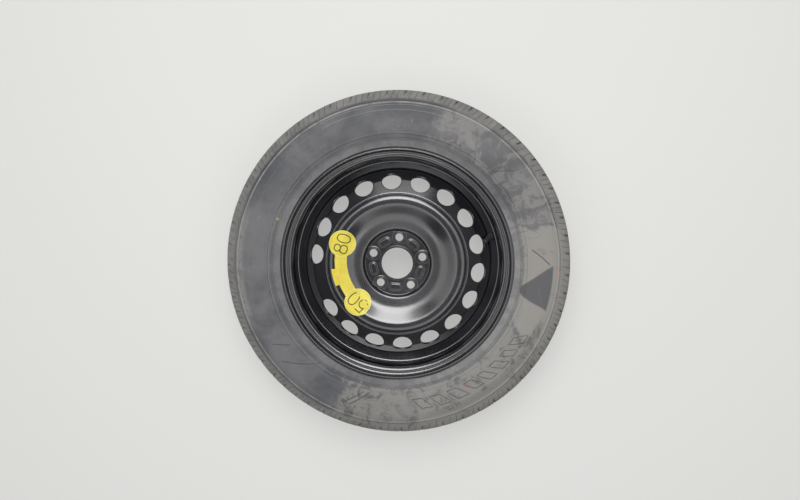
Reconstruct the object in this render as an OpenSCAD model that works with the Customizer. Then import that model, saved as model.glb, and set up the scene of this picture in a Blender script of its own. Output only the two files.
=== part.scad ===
// Space saver spare wheel: a narrow tyre on a pressed steel wheel, lying on its inner side.
// The wheel's axis is Z, the outer face looks up, and the origin is the middle of the wheel.
// The top of the wheel in the photograph is +Y.

/* [Rim] */
// Diameter of the bead seats at their heels
seat_d = 436.6; // [434:0.1:440]
// Width between the flanges
rim_w = 101.6; // [98:0.1:106]
// Height of a flange above its bead seat
flange_h = 17.5; // [15:0.1:19]
// Radius of the curl of a flange, on the tyre's side
flange_r = 9.5; // [8:0.1:10.5]
// Straight lip beyond the curl
lip_l = 2; // [1:0.1:4]
// Thickness of the rim's steel
rim_t = 2.6; // [2.2:0.1:3.2]
// Radius of the corner between flange and bead seat
heel_r = 6.5; // [5:0.1:7]
// Width of a bead seat, up to its hump
seat_w = 17.4; // [16.5:0.1:18.5]
// Height of the hump that holds the bead
hump_h = 1; // [0.5:0.1:1.4]
// Depth of the well below the bead seats
well_depth = 20.7; // [18:0.1:23]
// Slope of the well's front wall, which holds the valve
front_slope = 40; // [36:1:42]
// Slope of the well's back wall
back_slope = 8; // [6:1:12]
// Height at which the front bead seat ends, above the middle of the wheel
shelf_z = 13; // [12.4:0.1:14]
// Width of the small ledge there
ledge_w = 3; // [2.8:0.1:4]

/* [Disc] */
// Thickness of the disc's steel
disc_t = 3.8; // [3.2:0.1:4.2]
// Height of the mounting face above the middle of the wheel
mount_z = 22; // [18:0.5:26]
// Diameter of the centre bore
bore_d = 65.1; // [57:0.1:72]
// Height of the collar round the bore
collar_h = 6.6; // [5.5:0.1:8]
// Radius of the hub pad
pad_r = 69.3; // [67:0.1:72]
// Depth of the hub pad below the ring round it
pad_depth = 7.9; // [6:0.1:9]
// Where the dish starts to rise, as a part of the way from the hub pad to the skirt
dish_at = 0.216; // [0.18:0.001:0.25]
// Height of the dish there, above the hub pad
dish_h = 11.5; // [10.5:0.1:13]
// Inner edge of the crest, as a part of that way
crest_at = 0.4305; // [0.41:0.0005:0.45]
// Width of the crest, as a part of that way
crest_part = 0.107; // [0.09:0.001:0.12]
// Height of the crest above the hub pad
crest_h = 24.5; // [23:0.1:26]
// Small step between the crest and the vents, as a part of that way
step_at = 0.5913; // [0.58:0.0001:0.6]
// Width of that step
step_w = 3; // [2.8:0.1:3.4]
// Fall from the crest to the step
step_fall = 4.4; // [3.6:0.1:5]
// Where the slope with the vents turns steep, as a part of that way
brow_at = 0.8388; // [0.825:0.0002:0.845]
// Height of that bend above the hub pad
brow_h = 7.4; // [7:0.1:8]
// Fall from the hub pad to the corner of the skirt
skirt_fall = 20.5; // [20:0.1:21.5]
// Height of the skirt's free edge, below the middle of the wheel
skirt_z = 19.5; // [18:0.1:20]
// Clearance between the skirt and the well
skirt_gap = 0.05; // [0.03:0.01:0.2]

/* [Vents] */
// Number of vent places round the disc
vent_places = 18; // [12:1:18]
// Place that is left without a vent, counted clockwise
blind_place = 12; // [0:1:17]
// Angle of the first vent, clockwise from the top
vent_turn = 16.5; // [0:0.5:20]
// Middles of the vents, as a part of the way from the hub pad to the skirt
vent_at = 0.795; // [0.788:0.0005:0.8]
// Height of the vents' middles above the hub pad
vent_h = 3.6; // [3:0.1:4.2]
// Diameter of the punch that makes a vent
vent_d = 40; // [36:0.5:41]
// Tilt of the punch, outward from the wheel's axis
vent_tilt = 38; // [34:1:42]

/* [Bolt holes] */
// Number of bolt holes
bolt_count = 5; // [4:1:5]
// Diameter of the bolt circle
bolt_circle = 108; // [100:0.1:112]
// Diameter of a bolt hole
bolt_d = 16.3; // [14:0.1:17]
// Angle of the first bolt hole, clockwise from the top
bolt_turn = 4.7; // [0:0.1:20]
// Diameter of a bolt boss at its top
boss_d = 24; // [22:0.5:26]
// Height of a bolt boss above the pad
boss_h = 2.4; // [1.5:0.1:3]
// Depth of the conical bolt seat
seat_depth = 3; // [2:0.1:4]
// Length of the raised pads between the bolts
lobe_l = 24.5; // [20:0.5:26]
// Width of the raised pads
lobe_w = 13; // [11:0.5:14]
// Height of the raised pads
lobe_h = 1.8; // [1:0.1:2.4]
// Radius of the raised pads' middles
lobe_r = 50.5; // [48:0.5:54]

/* [Welds] */
// Number of weld beads behind the disc
weld_count = 8; // [4:1:10]
// Angle that one bead spans
weld_span = 20; // [12:1:28]
// Radius of a bead's section
weld_r = 3; // [2.5:0.1:3.6]

/* [Tyre] */
// Outer diameter of the tyre
tyre_d = 710.8; // [704:0.1:718]
// Section width of the tyre
section_w = 155; // [152:0.5:158]
// Thickness of the sidewall
wall_t = 5; // [4:0.1:6]
// Thickness of the crown, tread included
crown_t = 10; // [9:0.1:12]
// Width of the tread, as a part of the section width
tread_part = 0.729; // [0.7:0.001:0.76]
// Radius of the crown across the tread
crown_r = 400; // [300:10:500]
// Depth of the grooves round the tread
groove_depth = 4.2; // [3:0.1:5]
// Width of the grooves round the tread
groove_w = 6; // [4:0.1:8]
// Distance from one groove to the next
groove_pitch = 22; // [20:0.5:24]
// Thickness of the shoulder
shoulder_t = 14; // [12:0.5:16]
// Width of a bead at its toe
bead_w = 15.4; // [14:0.1:17]
// Length of a short shoulder block, as a part of a medium one
short_block = 0.84; // [0.8:0.01:0.9]
// Length of a long shoulder block, as a part of a medium one
long_block = 1.19; // [1.1:0.01:1.3]
// Angle of the first shoulder slot, clockwise from the top
slot_turn = 3.9; // [0:0.1:6]
// Turn from the slots of the outer shoulder to those of the inner one
slot_stagger = 3; // [0:0.1:5]
// Width of a slot between two shoulder blocks
slot_w = 4; // [3:0.1:5]
// Depth of a shoulder slot
slot_depth = 4.5; // [3:0.1:5]
// Slant of the shoulder slots round the wheel
slot_slant = 28; // [10:1:34]
// Width of the gap between the rim's lip and the sidewall
lip_gap_w = 2.6; // [2:0.1:3.2]
// Clearance between the tyre's beads and the rim
bead_gap = 0.25; // [0.15:0.01:0.3]

/* [Valve] */
// Angle of the valve, clockwise from the top
valve_turn = 74.3; // [60:0.1:90]
// How far the valve is pushed over sideways
valve_lean = 14; // [0:1:16]
// Diameter of the valve hole
valve_hole_d = 11.5; // [11.3:0.1:12]
// Length from the rim to the mouth of the stem
stem_l = 25.4; // [23:0.1:28]
// Diameter of the stem's mouth
stem_d = 7.7; // [7.6:0.1:8]
// Diameter of the stem's bore at its mouth
stem_bore = 5.3; // [5.2:0.1:5.4]
// Diameter of the cap
cap_d = 9.2; // [9:0.1:10.5]
// Length of the cap
cap_l = 10.4; // [9.5:0.1:10.6]
// Travel of the core's pin
pin_travel = 1; // [0.6:0.1:1.2]

/* [Sticker] */
// Thickness of the sticker
film_t = 0.25; // [0.15:0.05:0.25]
// Diameter of the sticker's round ends
disc_label_d = 55; // [50:0.5:56]
// Circle of the round ends, as a part of the way from the hub pad to the skirt
label_at = 0.3769; // [0.36:0.0001:0.39]
// Inner edge of the band between the ends, as a part of that way
band_at = 0.2598; // [0.24:0.0001:0.28]
// Width of the band
band_w = 24; // [20:0.5:26]
// How far the tab stands out from the band
tab_l = 8; // [5:0.5:9]

/* [Hidden] */
$fn = 96;

// Clearance between small pieces that touch
fit = 0.05;

// Rim, along the middle of its steel
rim_c = rim_t / 2;
seat_r = seat_d / 2;
seat_c = seat_r - rim_c;
lip_c = seat_r + flange_h - rim_c;
wall_z = rim_w / 2 + rim_c;
curl_z = rim_w / 2 + flange_r;
lip_z = curl_z + lip_l;
seat_taper = 5;
hump_w = 2.8;
hump_run = 6.2;
hump_bend = 3;
hump_z = rim_w / 2 - seat_w;
hump_c = seat_c - seat_w * tan(seat_taper);
slope_r = hump_c - hump_h;
slope_z = hump_z - hump_run;
slope_bend = 5;
well_c = seat_r - well_depth - rim_c;
well_in = seat_r - well_depth - rim_t;
shelf_bend = 3;
ledge_drop = 0.8;
ledge_bend = 2.2;
cone_r = slope_r - ledge_w;
cone_z = shelf_z - ledge_drop;
well_front = cone_z - (cone_r - well_c) * tan(front_slope);
well_back = (slope_r - well_c) * tan(back_slope) - slope_z;
well_bend = 5;

// Disc, along the middle of its steel
disc_c = disc_t / 2;
pad_c = mount_z + disc_c;
pad_top = mount_z + disc_t;
collar_c = bore_d / 2 + disc_c;
skirt_c = well_in - skirt_gap - disc_c;
tight_room = 0.6;
tight = disc_c + tight_room;
pad_bend = 4;
pad_run = 2.5;
pad_edge = pad_r + pad_run;
disc_span = skirt_c - pad_edge;
dish_r = pad_edge + dish_at * disc_span;
crest_r = pad_edge + crest_at * disc_span;
crest_w = crest_part * disc_span;
step_r = pad_edge + step_at * disc_span;
brow_r = pad_edge + brow_at * disc_span;
vent_r = pad_edge + vent_at * disc_span;
vent_z = pad_c + vent_h;
step_rise = 0.6;
step_end = [step_r + step_w, pad_c + crest_h - step_fall + step_rise];
brow_z = pad_c + brow_h;
brow_bend = 6;
brow_slope = atan2(step_end[1] - brow_z, brow_r - step_end[0]);
skirt_bend = 8;

// Tyre: the sidewall's points lie at parts of the way from the rim's lip to the edge of the tread
tyre_r = tyre_d / 2;
half_w = section_w / 2;
edge_z = tread_part * half_w;
edge_r = tyre_r - edge_z * edge_z / (2 * crown_r);
tyre_lip = seat_r + flange_h + bead_gap;
lip_cover = 1;
lip_bend = 1.4;
lip_gap_h = 6.8;
foot_rise = 8;
foot_run = 2.2;
foot_bend = 6;
wall_foot = 0.33;
wall_head = 0.693;
wall_bend = 0.36;
shoulder_at = 0.8144;
shoulder_run = 6.2;
shoulder_bend = 0.17;
edge_round = 2;
edge_run = 2.6;
bead_h = 11;
bead_t = 12;
bead_bend = 8;
toe_drop = 1.1;
bead_wall_t = 19;
slot_fall = 26;
slot_l = 15;
slot_in = 3;

// Lengths of the shoulder blocks in the order in which they follow, short, medium and long
blocks = "MMSSMMLLMSSSMMLMMSSMSSMMMMLLLLLLMMSSSMMLMSSMLLLMMMSSSMMLMMM";
function pitch(k) = blocks[k] == "S" ? short_block : blocks[k] == "L" ? long_block : 1;
pitch_sums = [for (k = 0, sum = 0; k <= len(blocks); sum = sum + pitch(k), k = k + 1) sum];
function block_turn(k) = 360 * pitch_sums[k] / pitch_sums[len(blocks)];

// Valve: its axis starts where it meets the outer face of the well's front wall, which is hollow there
foot_gap = 0.15;
valve_r = (cone_r + well_c) / 2 - rim_c * sin(front_slope);
valve_z = (cone_z + well_front) / 2 + rim_c * cos(front_slope);
rubber_l = stem_l - 8.6;
mouth_seal = 1;
chamber_l = 8.6;
barrel_top = stem_l - 1.4;
cap_inner = stem_d / 2 + 0.09;
cap_foot = stem_l + mouth_seal + 2 * fit + 1.2 - cap_l;
pin_r = 0.6;
thread_l = 4.2;
barrel_l = 12;
barrel_r = 1.7;
room_top = -2.8;
room_foot = -11.4;
collar_z = -3.5;

// Sticker: it sits a little off the wheel's middle
film_gap = 0.03;
label_r = pad_edge + label_at * disc_span;
band_r = pad_edge + band_at * disc_span;
label_x = -1;
label_y = 5.2;
label_turns = [161.5, 226.6];
tab_turns = [186.6, 202.1];

function unit(v) = v / norm(v);
function xy(p) = [p[0], p[1]];
function left(v) = [-v[1], v[0]];
function reversed(p) = [for (i = [len(p) - 1 : -1 : 0]) p[i]];
function mirrored(p) = [for (q = reversed(p)) [q[0], -q[1], q[2]]];

// Points round one corner of a path, half to the left of it, where r is the bend's radius on the path
function bend_points(a, c, b, r, half) = let (u = unit(c - a), v = unit(b - c),
    turn = atan2(u[0] * v[1] - u[1] * v[0], u * v), side = sign(turn),
    m = c - u * r * tan(abs(turn) / 2) + left(u) * side * r, w = -left(u) * side,
    n = max(2, ceil(abs(turn) / 7)))
    r == 0 ? [c + left(u) * half] : [for (k = [0 : n]) let (t = turn * k / n)
        m + (r - side * half) * [w[0] * cos(t) - w[1] * sin(t), w[0] * sin(t) + w[1] * cos(t)]];

// One face of a bent sheet, whose middle runs along the corners of p, each with its bend's radius
function face_of(p, half) = let (n = len(p), u = unit(xy(p[1]) - xy(p[0])),
    v = unit(xy(p[n - 1]) - xy(p[n - 2])))
    concat([xy(p[0]) + left(u) * half],
        [for (i = [1 : n - 2]) each bend_points(xy(p[i - 1]), xy(p[i]), xy(p[i + 1]), p[i][2], half)],
        [xy(p[n - 1]) + left(v) * half]);

// Closed outline with rounded corners
function rounded(p) = let (n = len(p))
    [for (i = [0 : n - 1]) each
        bend_points(xy(p[(i + n - 1) % n]), xy(p[i]), xy(p[(i + 1) % n]), p[i][2], 0)];

function flange_path() = [
    [lip_c, lip_z, 0],
    [lip_c, wall_z, flange_r - rim_c],
    [seat_c, wall_z, heel_r + rim_c],
    [hump_c, hump_z, hump_bend],
    [hump_c + hump_h, hump_z - hump_w, hump_bend],
    [slope_r, slope_z, slope_bend]];

rim_path = concat(flange_path(), [
    [slope_r, shelf_z, shelf_bend],
    [cone_r, cone_z, ledge_bend],
    [well_c, well_front, well_bend],
    [well_c, well_back, well_bend]], mirrored(flange_path()));

disc_path = [
    [collar_c, pad_c + collar_h, 0],
    [collar_c, pad_c, tight],
    [pad_r, pad_c, pad_bend],
    [pad_edge, pad_c + pad_depth, pad_bend],
    [dish_r, pad_c + dish_h, 0.495 * disc_span],
    [crest_r, pad_c + crest_h - step_rise, 0.148 * disc_span],
    [crest_r + crest_w, pad_c + crest_h, 0.115 * disc_span],
    [step_r, step_end[1] - step_rise, tight],
    [step_end[0], step_end[1], tight],
    [brow_r, brow_z, brow_bend],
    [skirt_c, pad_c - skirt_fall, skirt_bend],
    [skirt_c, -skirt_z, 0]];

module sheet(p, t) polygon(concat(face_of(p, t / 2), reversed(face_of(p, -t / 2))));

module slot(l, w) {
    for (s = [-1, 1]) translate([s * (l - w) / 2, 0]) circle(d = w);
    square([l - w, w], center = true);
}

// Radius at a part of the way up the sidewall
function wall_r(part) = tyre_lip + part * (edge_r - tyre_lip);
function wall_len(part) = part * (edge_r - tyre_lip);

// Half of the tyre's section, from the middle of the crown inside, round the bead, to the crown outside
function inner_half() = [
    [tyre_r - crown_t, 0, 0],
    [edge_r - crown_t + edge_round / 2, edge_z - shoulder_t, wall_len(0.35)],
    [edge_r - wall_len(0.13), half_w - shoulder_t, wall_len(0.156)],
    [wall_r(wall_head), half_w - wall_t, wall_len(wall_bend)],
    [wall_r(wall_foot), half_w - wall_t, wall_len(wall_bend)],
    [wall_r(0.06), half_w - bead_wall_t, wall_len(0.139)],
    [seat_r + bead_h, rim_w / 2 - bead_t, bead_bend],
    [seat_r - toe_drop, rim_w / 2 - bead_w, 1]];

function outer_half() = [
    [seat_r + bead_gap, rim_w / 2 - bead_gap, heel_r - bead_gap],
    [tyre_lip, rim_w / 2 - bead_gap, flange_r + bead_gap],
    [tyre_lip, lip_z + lip_cover, lip_bend],
    [tyre_lip + foot_rise, lip_z + lip_cover + foot_run, foot_bend],
    [wall_r(wall_foot), half_w, wall_len(wall_bend)],
    [wall_r(wall_head), half_w, wall_len(wall_bend)],
    [wall_r(shoulder_at), half_w - shoulder_run, wall_len(shoulder_bend)],
    [edge_r - edge_round, edge_z + edge_run, 3],
    [edge_r, edge_z, edge_round]];

function crown_points() = [for (k = [1 : 7]) let (z = edge_z * (1 - k / 8))
    [tyre_r - z * z / (2 * crown_r), z, 0]];

function tyre_outline() = let (half = concat(inner_half(), outer_half(), crown_points()))
    concat(half, [[tyre_r, 0, 0]], [for (i = [len(half) - 1 : -1 : 1]) [half[i][0], -half[i][1], half[i][2]]]);

module tyre() color([0.24, 0.24, 0.25]) difference() {
    rotate_extrude() difference() {
        polygon(rounded(tyre_outline()));
        for (k = [-1.5 : 1]) translate([tyre_r, k * groove_pitch])
            square([2 * groove_depth, groove_w], center = true);
        for (s = [0, 1]) mirror([0, s]) translate([tyre_lip - lip_gap_w, lip_z + lip_cover - lip_gap_h])
            square([2 * lip_gap_w, 2 * lip_gap_h]);
    }
    for (s = [0, 1], k = [0 : len(blocks) - 1]) mirror([0, 0, s])
        rotate(90 - slot_turn - s * slot_stagger - block_turn(k))
            translate([edge_r - slot_depth, 0, edge_z - slot_in])
                rotate([(2 * s - 1) * slot_slant, 0, 0]) rotate([0, -slot_fall, 0])
                    translate([2 * slot_depth, 0, 0])
                        cube([4 * slot_depth, slot_w, 2 * slot_l], center = true);
}

module rim() color([0.06, 0.06, 0.065]) difference() {
    rotate_extrude() sheet(rim_path, rim_t);
    on_slope() cylinder(d = valve_hole_d, h = 6 * rim_t, center = true);
}

// Places its children on the valve's seat, looking out of the wheel, and then leaning as the valve does
module on_slope() rotate(90 - valve_turn) translate([valve_r, 0, valve_z]) rotate([0, -front_slope, 0])
    children();
module on_valve() on_slope() rotate([valve_lean, 0, 0]) children();

module at_bolts(shift) for (k = [0 : bolt_count - 1])
    rotate(90 - bolt_turn - 360 * (k + shift) / bolt_count) children();

module wheel_disc() color([0.06, 0.06, 0.065]) difference() {
    union() {
        rotate_extrude() sheet(disc_path, disc_t);
        at_bolts(0) translate([bolt_circle / 2, 0, pad_c])
            cylinder(d1 = boss_d + 4, d2 = boss_d, h = disc_c + boss_h);
        at_bolts(0.5) translate([lobe_r, 0, pad_c]) rotate(90)
            linear_extrude(disc_c + lobe_h) slot(lobe_l, lobe_w);
    }
    at_bolts(0) translate([bolt_circle / 2, 0, 0]) {
        translate([0, 0, mount_z - 1]) cylinder(d = bolt_d, h = disc_t + boss_h + 2);
        translate([0, 0, pad_top + boss_h - seat_depth])
            cylinder(d1 = bolt_d, d2 = bolt_d + 2 * seat_depth * tan(30), h = seat_depth);
        translate([0, 0, mount_z - 1]) cylinder(d = boss_d - 1, h = 1 + boss_h / 2);
    }
    at_bolts(0.5) translate([lobe_r, 0, mount_z - 1]) rotate(90)
        linear_extrude(1 + lobe_h) slot(lobe_l - 4, lobe_w - 4);
    for (k = [0 : vent_places - 1]) if (k != blind_place)
        rotate(90 - vent_turn - 360 * k / vent_places) translate([vent_r, 0, vent_z])
            rotate([0, vent_tilt, 0]) cylinder(d = vent_d, h = 8 * disc_t, center = true);
}

module disc_welds() color([0.1, 0.1, 0.105]) for (k = [0 : weld_count - 1])
    rotate(360 * k / weld_count) rotate_extrude(angle = weld_span) difference() {
        intersection() {
            translate([well_in - 0.6, -skirt_z - 0.4]) circle(r = weld_r);
            translate([well_in - 2 * weld_r, -skirt_z - fit - 3 * weld_r]) square(3 * weld_r);
        }
        polygon(concat(face_of(rim_path, -rim_c - fit), [[tyre_r, -section_w], [tyre_r, section_w]]));
    }

// Rubber of the valve: the part in the hole sits square to the rim, the rest leans
module valve_body() color([0.07, 0.07, 0.07]) difference() {
    union() {
        on_slope() rotate_extrude() polygon([
            [0, -rim_t - 7.4], [5.6, -rim_t - 7.4], [8.4, -rim_t - 5.4], [9.4, -rim_t - 3],
            [8, -rim_t - fit], [valve_hole_d / 2 - fit, -rim_t - fit],
            [valve_hole_d / 2 - fit, foot_gap], [7.4, foot_gap], [7.6, 1.2], [7, 2.8], [6.2, 4.4], [0, 4.4]]);
        on_valve() translate([0, 0, 3]) cylinder(r1 = 6.1, r2 = stem_d / 2 + 1, h = rubber_l - 3);
    }
    on_valve() translate([0, 0, -6.4]) cylinder(r = stem_d / 2 - 0.6 + fit, h = rubber_l + 10);
    on_valve() translate([0, 0, -16]) cylinder(r = 1.9, h = 12);
}

module valve_stem() color([0.72, 0.58, 0.28]) on_valve() difference() {
    union() {
        translate([0, 0, -6.4 + fit]) cylinder(r = stem_d / 2 - 0.6, h = rubber_l + 6.4);
        translate([0, 0, rubber_l + fit]) cylinder(d = stem_d, h = stem_l - rubber_l - fit);
    }
    translate([0, 0, -8]) cylinder(r = 1.9, h = stem_l + 10);
    translate([0, 0, stem_l - chamber_l]) cylinder(d = stem_bore, h = chamber_l + 1);
}

module core_barrel() color([0.75, 0.62, 0.32]) on_valve() difference() {
    union() {
        translate([0, 0, barrel_top - thread_l]) cylinder(d = stem_bore - 2 * fit, h = thread_l);
        translate([0, 0, barrel_top - barrel_l]) cylinder(r = barrel_r, h = barrel_l - 1);
    }
    translate([0, 0, barrel_top - barrel_l - 1]) cylinder(r = pin_r + 0.1, h = barrel_l + 2);
    translate([0, 0, barrel_top + room_foot]) cylinder(r = 1.3, h = room_top - room_foot);
}

module core_gasket() color([0.75, 0.2, 0.15]) on_valve() translate([0, 0, barrel_top - thread_l - 1.4])
    difference() {
        cylinder(d1 = stem_bore - 1, d2 = stem_bore - 2 * fit, h = 1.4 - fit);
        translate([0, 0, -1]) cylinder(r = barrel_r + fit, h = 3);
    }

module core_pin() color([0.8, 0.68, 0.36]) on_valve() translate([0, 0, barrel_top]) rotate_extrude() polygon([
    [0, pin_travel + 0.35], [0.9, pin_travel + 0.35], [0.9, pin_travel + 0.1], [pin_r, pin_travel + 0.1],
    [pin_r, collar_z], [1.1, collar_z], [1.1, collar_z - 0.5], [pin_r, collar_z - 0.5],
    [pin_r, -barrel_l - 1 - 2 * fit], [1, -barrel_l - 1 - 2 * fit], [1, -barrel_l - 1.6], [0, -barrel_l - 1.6]]);

module core_cup() color([0.1, 0.1, 0.1]) on_valve() translate([0, 0, barrel_top - barrel_l - 1 - fit])
    difference() {
        cylinder(r = 1.5, h = 1);
        translate([0, 0, -1]) cylinder(r = pin_r + 0.02, h = 3);
    }

// Helix of round wire, rising from z = 0 with both ends cut square
module helix(r, wire, rise, turns) {
    sides = 6;
    steps = 16 * turns;
    points = [for (i = [0 : steps], j = [0 : sides - 1])
        let (a = 22.5 * i, b = 360 * j / sides, q = r + wire * cos(b))
        [q * cos(a), q * sin(a), wire + rise * i / steps + wire * sin(b)]];
    faces = concat([[for (j = [0 : sides - 1]) j]],
        [for (i = [0 : steps - 1], j = [0 : sides - 1]) let (k = (j + 1) % sides)
            [i * sides + j, (i + 1) * sides + j, (i + 1) * sides + k, i * sides + k]],
        [[for (j = [sides - 1 : -1 : 0]) steps * sides + j]]);
    polyhedron(points, faces, convexity = 10);
}

// The spring has its pressed length, so that the pin's collar clears it over its whole travel
module core_spring() color([0.75, 0.76, 0.78]) on_valve() translate([0, 0, barrel_top + room_foot + fit])
    helix(0.96, 0.13, collar_z - 0.5 - room_foot - pin_travel - 0.4, 7);

module valve_cap() color([0.05, 0.05, 0.05]) on_valve() translate([0, 0, cap_foot]) difference() {
    union() {
        cylinder(d = cap_d, h = cap_l - 1);
        translate([0, 0, cap_l - 1]) cylinder(d1 = cap_d, d2 = cap_d - 1.6, h = 1);
        for (k = [0 : 11]) rotate(30 * k) translate([cap_d / 2 - 0.1, 0, 2]) cylinder(r = 0.45, h = cap_l - 3.4);
    }
    translate([0, 0, -1]) cylinder(r = cap_inner, h = cap_l - 0.2);
}

module cap_seal() color([0.15, 0.15, 0.15]) on_valve() translate([0, 0, stem_l + fit]) difference() {
    cylinder(r = cap_inner - fit, h = mouth_seal);
    translate([0, 0, -1]) cylinder(r = 1.6, h = mouth_seal + 2);
}

module sector(r, from, to) polygon([[0, 0], for (k = [0 : 4]) let (a = from + (to - from) * k / 4)
    2 * r * [cos(a), sin(a)]]);

module sticker_outline() translate([label_x, label_y]) {
    for (a = label_turns) rotate(a) translate([label_r, 0]) circle(d = disc_label_d);
    intersection() {
        difference() {
            circle(r = band_r + band_w);
            circle(r = band_r);
        }
        sector(band_r + band_w, label_turns[0], label_turns[1]);
    }
    intersection() {
        difference() {
            circle(r = band_r + band_w + tab_l);
            circle(r = band_r + 2);
        }
        sector(band_r + band_w + tab_l, tab_turns[0], tab_turns[1]);
    }
}

// The film follows the dish and the crest, and bridges the small step
film_in = (dish_r + pad_edge) / 2;
film_out = 8;
film_bend = 30;
film_path = [
    [film_in, pad_c + (dish_h + pad_depth) / 2, 0],
    disc_path[4], disc_path[5], disc_path[6],
    [step_end[0], step_end[1], film_bend],
    [step_end[0] + film_out, step_end[1] - film_out * tan(brow_slope), 0]];

module speed_sticker() color([0.95, 0.85, 0.15]) intersection() {
    rotate_extrude() polygon(concat(face_of(film_path, disc_c + film_gap),
        reversed(face_of(film_path, disc_c + film_gap + film_t))));
    linear_extrude(section_w) sticker_outline();
}

tyre();
rim();
wheel_disc();
disc_welds();
valve_body();
valve_stem();
core_barrel();
core_gasket();
core_pin();
core_cup();
core_spring();
valve_cap();
cap_seal();
speed_sticker();
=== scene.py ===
"""Looks of the space saver spare wheel: meshes, materials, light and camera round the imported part."""

import math

import bmesh
import bpy
import numpy as np
from mathutils import Matrix, Vector


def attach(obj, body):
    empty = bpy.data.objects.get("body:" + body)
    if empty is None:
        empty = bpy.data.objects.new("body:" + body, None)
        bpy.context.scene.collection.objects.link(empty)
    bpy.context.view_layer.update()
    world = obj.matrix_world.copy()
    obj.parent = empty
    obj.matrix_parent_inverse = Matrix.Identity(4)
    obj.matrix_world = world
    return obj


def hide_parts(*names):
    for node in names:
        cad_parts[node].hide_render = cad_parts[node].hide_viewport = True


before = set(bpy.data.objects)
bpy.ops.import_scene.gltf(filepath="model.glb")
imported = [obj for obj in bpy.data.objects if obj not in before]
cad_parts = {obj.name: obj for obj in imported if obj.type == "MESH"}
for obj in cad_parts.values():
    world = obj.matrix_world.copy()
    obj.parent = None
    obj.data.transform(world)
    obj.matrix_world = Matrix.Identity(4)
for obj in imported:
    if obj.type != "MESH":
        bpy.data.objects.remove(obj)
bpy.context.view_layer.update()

MM = 0.001


# Sizes, in millimetres, as in the part

SEAT_R, RIM_HALF, FLANGE_H, RIM_T = 218.3, 50.8, 17.5, 2.6
WELL_IN = SEAT_R - 20.7 - RIM_T
DISC_T = 3.8
HALF_T = DISC_T / 2
MOUNT_Z = 22.0
PAD_TOP = MOUNT_Z + DISC_T
PAD_C = MOUNT_Z + HALF_T
PAD_EDGE = 71.8
SKIRT_C = WELL_IN - 0.05 - HALF_T
SPAN = SKIRT_C - PAD_EDGE
TIGHT = HALF_T + 0.6
CREST_R = PAD_EDGE + 0.4305 * SPAN
STEP_R = PAD_EDGE + 0.5913 * SPAN
STEP_END = (STEP_R + 3.0, PAD_C + 24.5 - 4.4 + 0.6)
BROW = (PAD_EDGE + 0.8388 * SPAN, PAD_C + 7.4)
VENT_R = PAD_EDGE + 0.795 * SPAN
VENT_Z = PAD_C + 3.6
VENT_RADIUS = 20.0
VENT_TILT = math.radians(38)
BLIND_PLACE = 12

DISC_PATH = [
    (32.55 + HALF_T, PAD_C + 6.6, 0),
    (32.55 + HALF_T, PAD_C, TIGHT),
    (69.3, PAD_C, 4),
    (PAD_EDGE, PAD_C + 7.9, 4),
    (PAD_EDGE + 0.216 * SPAN, PAD_C + 11.5, 0.495 * SPAN),
    (CREST_R, PAD_C + 23.9, 0.148 * SPAN),
    (CREST_R + 0.107 * SPAN, PAD_C + 24.5, 0.115 * SPAN),
    (STEP_R, STEP_END[1] - 0.6, TIGHT),
    (STEP_END[0], STEP_END[1], TIGHT),
    (BROW[0], BROW[1], 6),
    (SKIRT_C, PAD_C - 20.5, 8),
    (SKIRT_C, -19.5, 0),
]

STICKER_X, STICKER_Y, STICKER_R = -1.0, 5.2, 117.5
ROUND_ENDS = {161.5: "80", 226.6: "50"}

TYRE_R = 355.4
HALF_W = 77.5
CROWN = 800.0
EDGE_Z = 0.729 * HALF_W
EDGE_R = TYRE_R - EDGE_Z**2 / CROWN
LIP_R = SEAT_R + FLANGE_H + 0.25
LIP_Z = 62.3
WALL = EDGE_R - LIP_R


# Bent lines


def unit(v):
    return v / math.hypot(v[0], v[1])


def left(v):
    return np.array([-v[1], v[0]])


def bend_line(corners, step=5.0, chord=6.0, closed=False):
    """Points and left normals along a line of [r, z, bend radius] corners."""
    c = [np.array(p[:2], float) for p in corners]
    n = len(c)
    pts, nrm = [], []
    if not closed:
        pts.append(c[0])
        nrm.append(left(unit(c[1] - c[0])))
    for i in range(n) if closed else range(1, n - 1):
        q = c[i]
        u, v = unit(q - c[i - 1]), unit(c[(i + 1) % n] - q)
        turn = math.atan2(u[0] * v[1] - u[1] * v[0], float(u @ v))
        rad = corners[i][2]
        if rad == 0 or abs(turn) < 1e-6:
            pts.append(q)
            nrm.append(unit(left(u) + left(v)))
            continue
        side = math.copysign(1, turn)
        m = q - u * rad * math.tan(abs(turn) / 2) + left(u) * side * rad
        k = max(2, math.ceil(abs(math.degrees(turn)) / step))
        w0 = -left(u) * side
        for j in range(k + 1):
            t = turn * j / k
            cos_t, sin_t = math.cos(t), math.sin(t)
            w = np.array([w0[0] * cos_t - w0[1] * sin_t, w0[0] * sin_t + w0[1] * cos_t])
            pts.append(m + rad * w)
            nrm.append(-side * w)
    if not closed:
        pts.append(c[-1])
        nrm.append(left(unit(c[-1] - c[-2])))
    out_p, out_n = [], []
    last = len(pts) if closed else len(pts) - 1
    for i in range(last):
        a, b = pts[i], pts[(i + 1) % len(pts)]
        k = max(1, math.ceil(np.hypot(*(b - a)) / chord))
        for j in range(k):
            t = j / k
            out_p.append(a * (1 - t) + b * t)
            out_n.append(unit(nrm[i] * (1 - t) + nrm[(i + 1) % len(pts)] * t))
    if not closed:
        out_p.append(pts[-1])
        out_n.append(nrm[-1])
    return np.array(out_p), np.array(out_n)


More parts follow.
